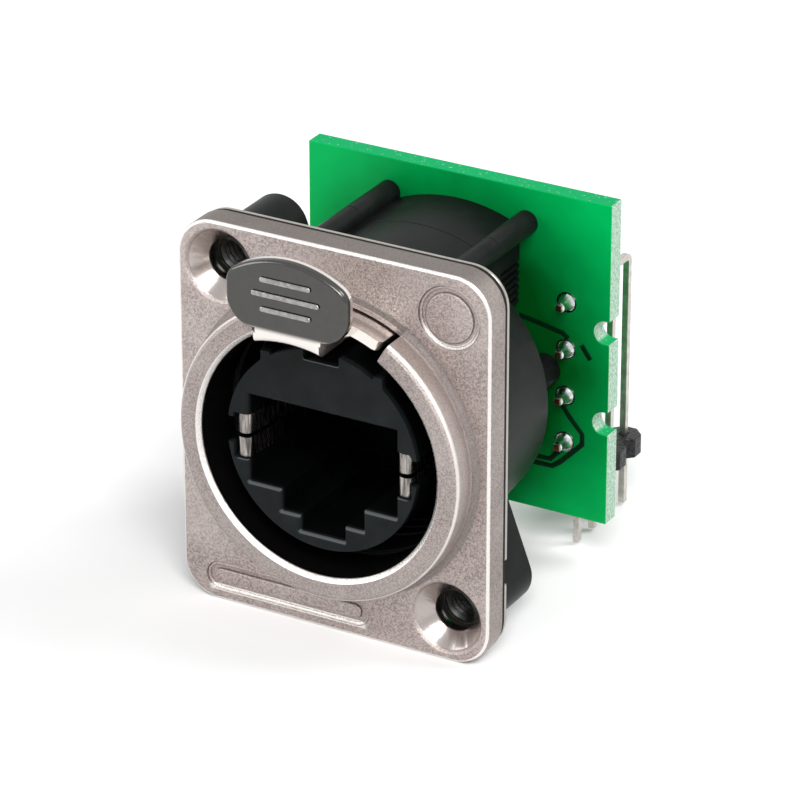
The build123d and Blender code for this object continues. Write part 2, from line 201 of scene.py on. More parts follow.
class NodeBook:
    """Node tree of one material or world, with short ways to add its nodes."""

    MIX_FACTOR, MIX_FIRST, MIX_SECOND, MIX_RESULT = 0, 6, 7, 2

    def __init__(self, owner: Union[bpy.types.Material, bpy.types.World]) -> None:
        """Empty a material's or world's node tree.

        Args:
            owner: the material or world.
        """
        self.owner = owner
        owner.use_nodes = True
        self.tree = owner.node_tree
        self.tree.nodes.clear()

    @classmethod
    def new(cls, name: str) -> NodeBook:
        """Start a new material's book."""
        return cls(bpy.data.materials.new(name))

    def node(
        self,
        kind: str,
        settings: Optional[dict[str, object]] = None,
        values: Optional[dict[Union[int, str], object]] = None,
        output: Union[int, str] = 0,
    ) -> Link:
        """Add a node.

        Args:
            kind: the node's type name.
            settings: its own settings, which are set first.
            values: numbers or links for its input sockets, by index or name.
            output: which output to hand back.

        Returns:
            The chosen output.
        """
        made = self.tree.nodes.new(kind)
        for key, value in (settings or {}).items():
            setattr(made, key, value)
        for key, value in (values or {}).items():
            if isinstance(value, Link):
                self.tree.links.new(value.socket, made.inputs[key])
            else:
                made.inputs[key].default_value = value
        return Link(self, made.outputs[output])

    def place(self) -> Link:
        """Read the object coordinates.

        Returns:
            The place in millimetres.
        """
        metres = self.node("ShaderNodeTexCoord", output="Object")
        values = {0: metres, "Scale": 1 / MM}
        return self.node("ShaderNodeVectorMath", {"operation": "SCALE"}, values)

    def parts_of(self, vector: Link) -> tuple[Link, Link, Link]:
        """Split a vector.

        Args:
            vector: the vector's link.

        Returns:
            Its x, y and z.
        """
        made = self.tree.nodes.new("ShaderNodeSeparateXYZ")
        self.tree.links.new(vector.socket, made.inputs[0])
        return tuple(Link(self, made.outputs[index]) for index in range(3))

    def facing(self) -> tuple[Link, Link, Link]:
        """Parts of the surface's own normal."""
        return self.parts_of(self.node("ShaderNodeNewGeometry", output="True Normal"))

    def noise(self, vector: Link, scale: float, octaves: float = 2, rough: float = 0.5) -> Link:
        """Fractal noise from 0 to 1.

        Args:
            vector: where it is read.
            scale: its scale.
            octaves: how many octaves it has after the first.
            rough: weight of the higher octaves.

        Returns:
            The noise.
        """
        values = {"Vector": vector, "Scale": scale, "Detail": octaves, "Roughness": rough}
        return self.node("ShaderNodeTexNoise", values=values)

    def mix(
        self, factor: Union[Link, float], first: Union[Link, Colour], second: Union[Link, Colour]
    ) -> Link:
        """Blend two colours.

        Args:
            factor: share of the second.
            first: colour at 0.
            second: colour at 1.

        Returns:
            The blend.
        """
        ends = [value if isinstance(value, Link) else (*value, 1) for value in (first, second)]
        values = {self.MIX_FACTOR: factor, self.MIX_FIRST: ends[0], self.MIX_SECOND: ends[1]}
        return self.node("ShaderNodeMix", {"data_type": "RGBA"}, values, self.MIX_RESULT)

    def bump(self, height: Link, strength: float, distance_mm: float) -> Link:
        """Normal from a height.

        Args:
            height: the height's link.
            strength: from 0 to 1.
            distance_mm: depth at height 1.

        Returns:
            The normal.
        """
        values = {"Strength": strength, "Distance": distance_mm * MM, "Height": height}
        return self.node("ShaderNodeBump", values=values)

    def shine(self, **sockets: object) -> bpy.types.Material:
        """Close the tree with a Principled shader.

        Args:
            sockets: the shader's inputs, with underscores for spaces.

        Returns:
            The finished material.
        """
        values = {key.replace("_", " "): value for key, value in sockets.items()}
        self.close(self.node("ShaderNodeBsdfPrincipled", values=values))
        return self.owner

    def close(self, shader: Link, kind: str = "ShaderNodeOutputMaterial") -> None:
        """Join a shader to the tree's output.

        Args:
            shader: the shader's link.
            kind: the output node's type name.
        """
        made = self.tree.nodes.new(kind)
        self.tree.links.new(shader.socket, made.inputs["Surface"])


@dataclass(frozen=True)
class CastNickel:
    """Grainy satin nickel on a die casting: smooth countersinks, a near-black, non-metal bore wall
    behind the rim.

    Painted shade darkens the ring's front face, its foot and the outer side walls; painted light
    lifts the ring's outer wall; the bright edges are partly wear and partly painted highlight.

    Lengths are in millimetres. The two numbers of a pair are where its mask is 0 and where it is 1;
    a pair whose name ends in edge counts from the radius or place that it belongs to.
    """

    screw_places: tuple[Pair, ...]
    bore_radius: float
    rim_back_y: float
    badge: Pair
    plate: Pair
    name: str = "cast_nickel"
    warm: Colour = (0.475, 0.393, 0.370)
    cool: Colour = (0.20, 0.182, 0.174)
    pale: Colour = (0.74, 0.68, 0.65)
    sunk: Colour = (0.42, 0.38, 0.36)
    # Colour of the bright edges: partly wear, partly painted highlight.
    worn_highlight: Colour = (0.86, 0.83, 0.80)
    # Colour of the painted shade on the outer side walls.
    wall_shade: Colour = (0.13, 0.115, 0.105)
    # Near-black colour of the bore wall behind the rim.
    bore_black: Colour = (0.003, 0.003, 0.003)
    grain_per_mm: float = 12.0
    speckle_per_mm: float = 7.5
    cloud_per_mm: float = 0.16
    warm_speckle: Pair = (0.34, 0.62)
    pale_grain: Pair = (0.55, 0.72)
    pale_grain_share: float = 0.55
    pale_cloud: Pair = (0.35, 0.75)
    pale_cloud_share: float = 0.25
    bore_black_edge: Pair = (0.08, 0.04)
    bore_black_front_edge: Pair = (0.0, 0.04)
    countersink_radius: float = 2.85
    countersink_edge: Pair = (0.0, -0.2)
    sunk_share: float = 0.85
    ring_radius: float = 11.7
    rim_edge: Pair = (-0.17, -0.25)
    rim_front_edge: Pair = (0.2, -0.1)
    # Share of painted shade on the ring's front face.
    rim_shade_share: float = 0.25
    foot_radius: float = 12.35
    foot_outer_edge: Pair = (0.0, -0.2)
    foot_inner_edge: Pair = (0.02, 0.06)
    # Share of painted shade on the ring's foot fillet.
    foot_share: float = 0.6
    foot_rough: float = 0.25
    flank_inner_edge: Pair = (-0.05, -0.02)
    flank_outer_edge: Pair = (0.06, 0.02)
    # Share of painted light on the ring's outer wall.
    flank_light_share: float = 0.3
    corner_centre: Pair = (10.0, 12.5)
    corner_reach: float = 2.65
    corner_edge: Pair = (0.0, 0.08)
    # Painted shade on the outer side walls, strongest on the top wall.
    side_facing: Pair = (0.45, 0.2)
    top_facing: Pair = (0.3, 0.9)
    side_shade_share: float = 0.3
    top_shade_share: float = 0.42
    rounding_facing: Pair = (0.3, 0.5)
    flat_facing: Pair = (0.985, 0.95)
    badge_inner: Pair = (2.1, 2.2)
    badge_outer: Pair = (2.55, 2.45)
    badge_foot: Pair = (-0.4, -1.6)
    plate_upper: Pair = (-0.7, -0.8)
    plate_lower: Pair = (-1.25, -1.15)
    plate_end: Pair = (6.9, 6.5)
    lip_inner_edge: Pair = (0.02, 0.06)
    lip_outer_edge: Pair = (0.45, 0.35)
    lip_facing: Pair = (0.97, 0.9)
    line_inner_edge: Pair = (-0.17, -0.13)
    line_outer_edge: Pair = (0.04, -0.02)
    line_share: float = 0.8
    worn_highlight_front_edge: Pair = (0.2, 0.0)
    worn_highlight_share: float = 0.85
    worn_highlight_smooth: float = 0.4
    rough: float = 0.34
    grain_rough: float = 0.20
    sunk_rough: float = 0.22
    speckle_relief: float = 0.6
    sunk_smooth: float = 0.9
    relief: float = 0.6
    relief_mm: float = 0.07

    def worn_and_highlit_edges(self, book: NodeBook, outer: Link, front: Link) -> Link:
        """Mask of the bright edges, partly rubbed bright and partly painted highlight.

        Args:
            book: the material's nodes.
            outer: mask of the flange's outline.
            front: how far the surface faces the front.

        Returns:
            The mask.
        """
        x, y, z = book.parts_of(book.place())
        reach = length(x, z)
        ring, bore = self.ring_radius, self.bore_radius
        # Bright rounding round the flange's outline: partly wear, partly painted highlight.
        outline = outer * front.step(*self.rounding_facing) * front.step(*self.flat_facing)
        # Painted highlight: a crescent along the lower part of the round recess's edge.
        across, up = x - self.badge[0], z - self.badge[1]
        spread = length(across, up)
        crescent = spread.step(*self.badge_inner) * spread.step(*self.badge_outer)
        crescent = crescent * up.step(*self.badge_foot)
        # Painted highlight: a strip along the lower edge of the long recess.
        across, up = abs(x - self.plate[0]), z - self.plate[1]
        strip = up.step(*self.plate_upper) * up.step(*self.plate_lower)
        strip = strip * across.step(*self.plate_end)
        # Bright rims of the bore and the ring: partly wear, partly painted highlight.
        lip = reach.edge(bore, self.lip_inner_edge) * reach.edge(bore, self.lip_outer_edge)
        lip = lip * front.step(*self.lip_facing)
        line = reach.edge(ring, self.line_inner_edge) * reach.edge(ring, self.line_outer_edge)
        rims = lip.larger(line * self.line_share) * y.edge(self.rim_back_y, self.worn_highlight_front_edge)
        return outline.larger(crescent).larger(strip).larger(rims)

    def material(self) -> bpy.types.Material:
        """Build the material.

        Returns:
            The finished material.
        """
        book = NodeBook.new(self.name)
        place = book.place()
        x, y, z = book.parts_of(place)
        _, facing_y, facing_z = book.facing()
        front = facing_y * -1
        grain = book.noise(place, self.grain_per_mm, octaves=2, rough=0.6)
        speckle = book.noise(place, self.speckle_per_mm, octaves=3, rough=0.7)
        cloud = book.noise(place, self.cloud_per_mm, octaves=2)
        reach = length(x, z)
        ring = self.ring_radius
        # The bore wall behind the rim bevel is made near-black and not metal.
        bore_black_mask = reach.edge(self.bore_radius, self.bore_black_edge)
        bore_black_mask = bore_black_mask * y.edge(self.rim_back_y, self.bore_black_front_edge)
        sunk = bore_black_mask
        for screw_x, screw_z in self.screw_places:
            hole = length(x - screw_x, z - screw_z)
            sunk = sunk.larger(hole.edge(self.countersink_radius, self.countersink_edge))
        plain = 1 - sunk
        past_x = (abs(x) - self.corner_centre[0]).larger(0)
        past_z = (abs(z) - self.corner_centre[1]).larger(0)
        outer = length(past_x, past_z).edge(self.corner_reach, self.corner_edge) * plain
        rim = reach.edge(ring, self.rim_edge) * y.edge(self.rim_back_y, self.rim_front_edge)
        foot = reach.edge(self.foot_radius, self.foot_outer_edge)
        foot = foot * reach.edge(ring, self.foot_inner_edge)
        flank_light = reach.edge(ring, self.flank_inner_edge) * reach.edge(ring, self.flank_outer_edge)
        # Painted shade: the flange's outer side walls are darkened, the top wall most.
        side = self.side_shade_share + facing_z.step(*self.top_facing) * self.top_shade_share
        side = outer * front.step(*self.side_facing) * side
        edge = self.worn_and_highlit_edges(book, outer, front)
        tint = book.mix(speckle.step(*self.warm_speckle), self.cool, self.warm)
        tint = book.mix(grain.step(*self.pale_grain) * self.pale_grain_share, tint, self.pale)
        tint = book.mix(cloud.step(*self.pale_cloud) * self.pale_cloud_share, tint, self.pale)
        # Painted shade: the ring's front face and the concave foot round it are darkened towards
        # the cool tone.
        rim_and_foot_shade = (rim * self.rim_shade_share).larger(foot * self.foot_share) * plain
        tint = book.mix(rim_and_foot_shade, tint, self.cool)
        # Painted light: the ring's outer wall is lightened towards the pale tone, against its dark
        # reflection.
        tint = book.mix(flank_light * self.flank_light_share, tint, self.pale)
        tint = book.mix(side, tint, self.wall_shade)
        # Bright edges: partly wear, partly painted highlight.
        tint = book.mix(edge * self.worn_highlight_share, tint, self.worn_highlight)
        tint = book.mix(sunk * self.sunk_share, tint, self.sunk)
        tint = book.mix(bore_black_mask, tint, self.bore_black)
        rough = (self.rough + grain * self.grain_rough) * plain + self.sunk_rough * sunk
        rough = rough * (1 - edge * self.worn_highlight_smooth) + foot * self.foot_rough
        relief = (grain + speckle * self.speckle_relief) * (1 - sunk * self.sunk_smooth)
        return book.shine(
            Base_Color=tint, Metallic=1 - bore_black_mask, Roughness=rough,
            Normal=book.bump(relief, self.relief, self.relief_mm),
        )


@dataclass(frozen=True)
class PolishedNickel:
    """Smooth plated strip with a painted dark reflection on the push plate's face."""

    face_y: float
    face_low: float
    name: str = "polished_nickel"
    bright: Colour = (0.80, 0.755, 0.715)
    # Colour of the painted dark reflection on the push plate's face.
    reflection_dark: Colour = (0.075, 0.074, 0.070)
    reflection_dark_lift: float = 1.35
    depth_edge: Pair = (0.62, 0.54)
    foot_edge: Pair = (-0.1, 0.35)
    scratch_per_mm: float = 1.6
    rough: float = 0.14
    scratch_rough: float = 0.12
    relief: float = 0.12
    relief_mm: float = 0.05

    def material(self) -> bpy.types.Material:
        """Build the material.

        Returns:
            The finished material.
        """
        book = NodeBook.new(self.name)
        place = book.place()
        _, y, z = book.parts_of(place)
        fine = book.noise(place, self.scratch_per_mm, octaves=5, rough=0.7)
        # Painted reflection: the push plate's face is darkened, with a faint fine mottle.
        face = y.edge(self.face_y, self.depth_edge) * z.edge(self.face_low, self.foot_edge)
        shade = book.mix(fine, self.reflection_dark, tuple(channel * self.reflection_dark_lift for channel in self.reflection_dark))
        return book.shine(
            Base_Color=book.mix(face, self.bright, shade), Metallic=1.0,
            Roughness=self.rough + fine * self.scratch_rough,
            Normal=book.bump(fine, self.relief, self.relief_mm),
        )


@dataclass(frozen=True)
class Moulding:
    """Fine-grained black moulded plastic.

    Behind deep_y, inside the jack, it is painted darker as shade, and the jack's up-facing front
    edges get a painted highlight.
    """

    name: str
    base: Colour
    high: Colour
    rough: float = 0.42
    grain_per_mm: float = 6.0
    relief: float = 0.25
    relief_mm: float = 0.03
    cloud_per_mm: float = 0.35
    cloud_tint: Pair = (0.3, 0.75)
    cloud_rough: float = 0.16
    gloss: float = 0.07
    deep_y: Optional[float] = None
    deep_edge: Pair = (0.0, 0.3)
    deep_shade_share: float = 0.85
    # Colour of the painted highlight on the jack's front edges.
    edge_highlight: Colour = (0.075, 0.083, 0.085)
    edge_highlight_reach: float = 7.6
    highlight_reach_edge: Pair = (0.0, -0.2)
    edge_highlight_front_edge: Pair = (0.0, -0.1)
    rounding_facing: Pair = (0.4, 0.6)
    flat_facing: Pair = (0.985, 0.93)
    up_facing: Pair = (0.05, 0.3)

    def jack_tint(self, book: NodeBook, tint: Link, deep_y: float) -> Link:
        """Paint a highlight on the jack's front edges and paint shade inside it.

        Args:
            book: the material's nodes.
            tint: the plain colour.
            deep_y: where its inside starts.

        Returns:
            The colour.
        """
        x, y, z = book.parts_of(book.place())
        _, facing_y, facing_z = book.facing()
        front = facing_y * -1
        # Painted highlight: the up-facing rounded front edges of the jack are lightened.
        edge = front.step(*self.rounding_facing) * front.step(*self.flat_facing)
        edge = edge * facing_z.step(*self.up_facing)
        edge = edge * length(x, z).edge(self.edge_highlight_reach, self.highlight_reach_edge)
        tint = book.mix(edge * y.edge(deep_y, self.edge_highlight_front_edge), tint, self.edge_highlight)
        # Painted shade: behind deep_y, inside the jack, the colour is darkened towards black.
        return book.mix(y.edge(deep_y, self.deep_edge) * self.deep_shade_share, tint, BLACK)

    def material(self) -> bpy.types.Material:
        """Build the material.

        Returns:
            The finished material.
        """
        book = NodeBook.new(self.name)
        place = book.place()
        grain = book.noise(place, self.grain_per_mm, octaves=3, rough=0.6)
        cloud = book.noise(place, self.cloud_per_mm, octaves=3, rough=0.6)
        tint = book.mix(cloud.step(*self.cloud_tint), self.base, self.high)
        if self.deep_y is not None:
            tint = self.jack_tint(book, tint, self.deep_y)
        return book.shine(
            Base_Color=tint, Roughness=self.rough + (cloud - 0.5) * self.cloud_rough,
            Specular_IOR_Level=self.gloss, Normal=book.bump(grain, self.relief, self.relief_mm),
        )


@dataclass(frozen=True)
class Metal:
    """Plain metal with faint drawing marks along one axis."""

    name: str
    base: Colour
    dull: Colour
    rough: float = 0.22
    stretch: tuple[float, float, float] = (1.0, 1.0, 1.0)
    mark_per_mm: float = 3.0
    mark_tint: Pair = (0.3, 0.7)
    mark_rough: float = 0.14
    relief: float = 0.15
    relief_mm: float = 0.03

    def material(self) -> bpy.types.Material:
        """Build the material.

        Returns:
            The finished material.
        """
        book = NodeBook.new(self.name)
        values = {"Vector": book.place(), "Scale": self.stretch}
        place = book.node("ShaderNodeMapping", values=values)
        marks = book.noise(place, self.mark_per_mm, octaves=3, rough=0.6)
        return book.shine(
            Base_Color=book.mix(marks.step(*self.mark_tint), self.dull, self.base), Metallic=1.0,
            Roughness=self.rough + marks * self.mark_rough,
            Normal=book.bump(marks, self.relief, self.relief_mm),
        )


@dataclass(frozen=True)
class PinTin:
    """Tinned square wire whose cut front ends show the copper alloy."""

    cut_y: float
    name: str = "tinned_wire"
    tin: Colour = (0.66, 0.63, 0.58)
    dull: Colour = (0.46, 0.43, 0.40)
    copper: Colour = (0.24, 0.085, 0.05)
    mark_per_mm: float = 1.8
    mark_tint: Pair = (0.3, 0.7)
    cut_facing: Pair = (0.6, 0.9)
    cut_edge: Pair = (0.3, 0.15)
    rough: float = 0.28
    mark_rough: float = 0.16

    def material(self) -> bpy.types.Material:
        """Build the material.

        Returns:
            The finished material.
        """
        book = NodeBook.new(self.name)
        place = book.place()
        _, y, _ = book.parts_of(place)
        _, facing_y, _ = book.facing()
        marks = book.noise(place, self.mark_per_mm, octaves=4, rough=0.65)
        cut = (facing_y * -1).step(*self.cut_facing) * y.edge(self.cut_y, self.cut_edge)
        tint = book.mix(marks.step(*self.mark_tint), self.dull, self.tin)
        return book.shine(
            Base_Color=book.mix(cut, tint, self.copper), Metallic=1.0,
            Roughness=self.rough + marks * self.mark_rough,
        )


@dataclass(frozen=True)
class BoardLaminate:
    """Green solder mask on both faces, pale glass laminate on every cut edge, and painted shade on
    the mask round the barrel.
    """

    name: str = "board_laminate"
    bright: Colour = (0.0, 0.43, 0.095)
    # Mask colour of the painted shade next to the barrel.
    deep: Colour = (0.0, 0.075, 0.008)
    glass: Colour = (0.50, 0.62, 0.52)
    shade: Colour = (0.25, 0.42, 0.31)
    top: Colour = (0.01, 0.36, 0.12)
    barrel_shade_reach: float = 9.0
    bright_reach: float = 17.5
    cloud_reach: float = 4.0
    cloud_per_mm: float = 0.22
    weave_per_mm: float = 4.5
    face_facing: Pair = (0.5, 0.6)
    rear_share: float = 0.7
    glass_weave: Pair = (0.40, 0.62)
    top_facing: Pair = (0.7, 0.9)
    top_weave: Pair = (0.74, 0.60)
    edge_rough: float = 0.75
    face_smooth: float = 0.36
    cloud_smooth: float = 0.08
    gloss: float = 0.06
    relief: float = 0.5
    relief_mm: float = 0.06
    face_flat: float = 0.93

    def material(self) -> bpy.types.Material:
        """Build the material.

        Returns:
            The finished material.
        """
        book = NodeBook.new(self.name)
        place = book.place()
        x, _, z = book.parts_of(place)
        _, facing_y, facing_z = book.facing()
        cloud = book.noise(place, self.cloud_per_mm, octaves=3, rough=0.55)
        weave = book.noise(place, self.weave_per_mm, octaves=3, rough=0.7)
        # Painted shade: the mask darkens towards the barrel, fully on the front face and partly on
        # the rear face.
        share = length(x, z) + (cloud - 0.5) * self.cloud_reach - self.barrel_shade_reach
        share = share / (self.bright_reach - self.barrel_shade_reach)
        rear = facing_y.step(*self.face_facing) * self.rear_share
        mask = book.mix(share.larger(rear), self.deep, self.bright)
        edge = book.mix(weave.step(*self.glass_weave), self.shade, self.glass)
        top = facing_z.step(*self.top_facing) * weave.step(*self.top_weave)
        face = abs(facing_y).step(*self.face_facing)
        return book.shine(
            Base_Color=book.mix(face, book.mix(top, edge, self.top), mask),
            Roughness=self.edge_rough - face * (self.face_smooth + cloud * self.cloud_smooth),
            Specular_IOR_Level=self.gloss,
            Normal=book.bump(weave * (1 - face * self.face_flat), self.relief, self.relief_mm),
        )


@dataclass(frozen=True)
class TraceMask:
    """Darker green where the mask runs over a copper trace."""

    name: str = "trace_mask"
    base: Colour = (0.0, 0.010, 0.003)
    high: Colour = (0.0, 0.020, 0.005)
    cloud_per_mm: float = 1.1
    rough: float = 0.40
    cloud_rough: float = 0.1
    gloss: float = 0.08

    def material(self) -> bpy.types.Material:
        """Build the material.

        Returns:
            The finished material.
        """
        book = NodeBook.new(self.name)
        cloud = book.noise(book.place(), self.cloud_per_mm, octaves=2)
        return book.shine(
            Base_Color=book.mix(cloud, self.base, self.high),
            Roughness=self.rough + cloud * self.cloud_rough, Specular_IOR_Level=self.gloss,
        )


class Bench:
    """Modelling steps on one piece at a time, done with Blender's operators."""

    LOOSE = 0.001 * MM
    SPUN_LOOSE = 0.0005 * MM
    FLAT_TURN = radians(0.6)
    BAR_CORNERS = 48
    BEAD_CORNERS = 40

    @staticmethod
    def clear() -> None:
        """Deselect everything in object mode."""
        if bpy.context.mode != "OBJECT":
            bpy.ops.object.mode_set(mode="OBJECT")
        bpy.ops.object.select_all(action="DESELECT")

    @classmethod
    def hold(cls, piece: Piece) -> None:
        """Make a piece the only selected one, and the active one.

        Args:
            piece: the piece.
        """
        cls.clear()
        piece.select_set(True)
        bpy.context.view_layer.objects.active = piece

    @staticmethod
    def named(name: str) -> Piece:
        """Name the newly added active object and its mesh.

        Args:
            name: the piece's name.

        Returns:
            The piece.
        """
        piece = bpy.context.active_object
        piece.name = piece.data.name = name
        return piece

    @classmethod
    def edit(cls, piece: Piece, mode: str = "FACE") -> None:
        """Open a piece in edit mode with nothing selected.

        Args:
            piece: the piece.
            mode: VERT, EDGE or FACE.
        """
        cls.hold(piece)
        bpy.ops.object.mode_set(mode="EDIT")
        bpy.ops.mesh.select_mode(type=mode)
        bpy.ops.mesh.select_all(action="DESELECT")

    @classmethod
    def modify(cls, piece: Piece, kind: str, **settings: object) -> None:
        """Add a modifier and apply it.

        Args:
            piece: the piece.
            kind: the modifier's type.
            settings: its settings.
        """
        cls.hold(piece)
        bpy.ops.object.modifier_add(type=kind)
        modifier = piece.modifiers[-1]
        for key, value in settings.items():
            setattr(modifier, key, value)
        bpy.ops.object.modifier_apply(modifier=modifier.name)

    @classmethod
    def smooth(cls, piece: Piece, angle: float = 35) -> None:
        """Shade smooth below an angle in degrees."""
        cls.hold(piece)
        bpy.ops.object.shade_smooth_by_angle(angle=radians(angle))

    @classmethod
    def rounded(cls, piece: Piece, width_mm: float, steps: int = 2, angle: float = 32) -> None:
        """Round the sharp edges of a piece.

        Args:
            piece: the piece.
            width_mm: width of the rounding.
            steps: its segments.
            angle: edges that turn by more than this many degrees are rounded.
        """
        cls.modify(
            piece, "BEVEL", width=width_mm * MM, segments=steps, limit_method="ANGLE",
            angle_limit=radians(angle), use_clamp_overlap=False, miter_outer="MITER_ARC",
        )

    @classmethod
    def refined(
        cls, node: str, name: str, width_mm: float, steps: int = 2, slim_mm: float = 0.0
    ) -> Piece:
        """Copy a node, merge its loose triangles, round its edges and smooth it.

        Args:
            node: the node that the copy replaces.
            name: the copy's name.
            width_mm: width of the rounding, or 0 for none.
            steps: segments of the rounding.
            slim_mm: how far every face moves inwards.

        Returns:
            The copy.
        """
        cls.clear()
        piece = bpy.data.objects.new(name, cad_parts[node].data.copy())
        piece.data.name = name
        piece.data.materials.clear()
        bpy.context.scene.collection.objects.link(piece)
        cls.hold(piece)
        bpy.ops.mesh.customdata_custom_splitnormals_clear()
        cls.edit(piece, "VERT")
        bpy.ops.mesh.select_all(action="SELECT")
        bpy.ops.mesh.remove_doubles(threshold=cls.LOOSE)
        bpy.ops.mesh.dissolve_limited(angle_limit=cls.FLAT_TURN)
        if slim_mm:
            bpy.ops.transform.shrink_fatten(value=-slim_mm * MM, use_even_offset=True)
        bpy.ops.object.mode_set(mode="OBJECT")
        if width_mm:
            cls.rounded(piece, width_mm, steps)
        cls.smooth(piece)
        cls.modify(piece, "WEIGHTED_NORMAL", mode="FACE_AREA", weight=100, keep_sharp=True)
        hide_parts(node)
        return piece

    @classmethod
    def spun(cls, name: str, outline: Sequence[Pair], x: float, z: float, turns: int = 48) -> Piece:
        """Turn a closed outline about an axis along y.

        Args:
            name: the piece's name.
            outline: its corners as radius and y, in metres, in order.
            x: the axis's place across.
            z: the axis's place in height.
            turns: steps of the spin.

        Returns:
            The turned piece.
        """
        cls.clear()
        radius, y = outline[0]
        bpy.ops.mesh.primitive_plane_add(size=MM, location=(0, 0, 0))
        piece = cls.named(name)
        cls.edit(piece, "VERT")
        bpy.ops.mesh.select_all(action="SELECT")
        bpy.ops.mesh.merge(type="CENTER")
        bpy.ops.transform.translate(value=(x + radius, y, z))
        for (last_radius, last_y), (radius, y) in zip(outline, outline[1:]):
            bpy.ops.mesh.extrude_region_move(
                TRANSFORM_OT_translate={"value": (radius - last_radius, y - last_y, 0)}
            )
        bpy.ops.mesh.select_all(action="SELECT")
        bpy.ops.mesh.spin(
            steps=turns, angle=2 * pi, center=(x, 0, z), axis=(0, 1, 0), use_auto_merge=True
        )
        bpy.ops.mesh.select_all(action="SELECT")
        bpy.ops.mesh.remove_doubles(threshold=cls.SPUN_LOOSE)
        bpy.ops.mesh.normals_make_consistent(inside=False)
        bpy.ops.object.mode_set(mode="OBJECT")
        return piece

    @classmethod
    def bar(
        cls, name: str, centre: Vector, length_x: float, height: float, depth: float, edge_mm: float
    ) -> Piece:
        """Low bar with round ends that lies in the XZ plane and stands out to the front.

        Args:
            name: the piece's name.
            centre: middle of its rear face.
            length_x: overall length along x.
            height: width across, twice the end radius.
            depth: how far it stands out.
            edge_mm: rounding of its front edge.

        Returns:
            The bar.
        """
        cls.clear()
        bpy.ops.mesh.primitive_cylinder_add(
            vertices=cls.BAR_CORNERS, radius=height / 2, depth=depth,
            location=centre - Vector((0, depth / 2, 0)), rotation=(pi / 2, 0, 0),
        )
        piece = cls.named(name)
        bpy.ops.object.transform_apply(location=True, rotation=True, scale=True)
        reach = (length_x - height) / 2
        for side in (-1, 1):
            cls.edit(piece, "VERT")
            bpy.ops.object.mode_set(mode="OBJECT")
            for vertex in piece.data.vertices:
                vertex.select = (vertex.co.x - centre.x) * side > cls.LOOSE
            bpy.ops.object.mode_set(mode="EDIT")
            bpy.ops.transform.translate(value=(side * reach, 0, 0))
            bpy.ops.object.mode_set(mode="OBJECT")
        cls.rounded(piece, edge_mm, steps=3, angle=60)
        cls.smooth(piece)
        return piece

    @classmethod
    def wire(
        cls, name: str, points: Sequence[Vector], radius: float, detail: int = 2,
        closed: bool = False,
    ) -> Piece:
        """Round wire along a line, made a mesh.

        Args:
            name: the piece's name.
            points: the line's corners in order.
            radius: the wire's radius.
            detail: resolution of its round section.
            closed: whether the last corner joins the first.

        Returns:
            The wire.
        """
        cls.clear()
        bpy.ops.curve.primitive_nurbs_path_add(location=(0, 0, 0))
        path = cls.named(name)
        path.data.splines.clear()
        spline = path.data.splines.new("POLY")
        spline.points.add(len(points) - 1)
        for corner, point in zip(spline.points, points):
            corner.co = (*point, 1)
        spline.use_cyclic_u = closed
        path.data.dimensions = "3D"
        path.data.bevel_depth = radius
        path.data.bevel_resolution = detail
        path.data.use_fill_caps = not closed
        cls.hold(path)
        bpy.ops.object.convert(target="MESH")
        return cls.named(name)

    @classmethod
    def bead(cls, name: str, centre: Vector, reach: float, radius: float, wire: float) -> Piece:
        """Round bead along a circle, or along a slot's outline, in the XZ plane.

        Args:
            name: the piece's name.
            centre: middle of the outline.
            reach: half the length of its straight sides, or 0 for a circle.
            radius: radius of its ends.
            wire: radius of the bead.

        Returns:
            The bead.
        """
        points = []
        for index in range(cls.BEAD_CORNERS):
            turn = 2 * pi * (index + 0.5) / cls.BEAD_CORNERS
            across = reach if cos(turn) > 0 else -reach
            points.append(centre + Vector((across + radius * cos(turn), 0, radius * sin(turn))))
        piece = cls.wire(name, points, wire, detail=3, closed=True)
        cls.smooth(piece, angle=60)
        return piece

    @classmethod
    def copies(cls, first: Piece, names: Sequence[str], shifts: Sequence[Vector]) -> list[Piece]:
        """Copy a piece, each copy with its own mesh.

        Args:
            first: what to copy.
            names: the copies' names.
            shifts: how far each copy lies from it.

        Returns:
            The piece and its copies in order.
        """
        pieces = [first]
        for name, shift in zip(names, shifts):
            cls.hold(first)
            bpy.ops.object.duplicate(linked=False)
            copy = cls.named(name)
            cls.edit(copy, "VERT")
            bpy.ops.mesh.select_all(action="SELECT")
            bpy.ops.transform.translate(value=shift)
            bpy.ops.object.mode_set(mode="OBJECT")
            pieces.append(copy)
        return pieces


def dress(piece: Piece, material: bpy.types.Material, body: Body) -> None:
    """Give a new piece its material and body, and report it.

    Args:
        piece: the new piece.
        material: its finish.
        body: the body that it rides on.
    """
    piece.data.materials.clear()
    piece.data.materials.append(material)
    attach(piece, body.value)
    LOG.info("%s: %d faces", piece.name, len(piece.data.polygons))


def middle(node: str) -> Vector:
    """Centre of a node's box."""
    low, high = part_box(node)
    return (low + high) / 2


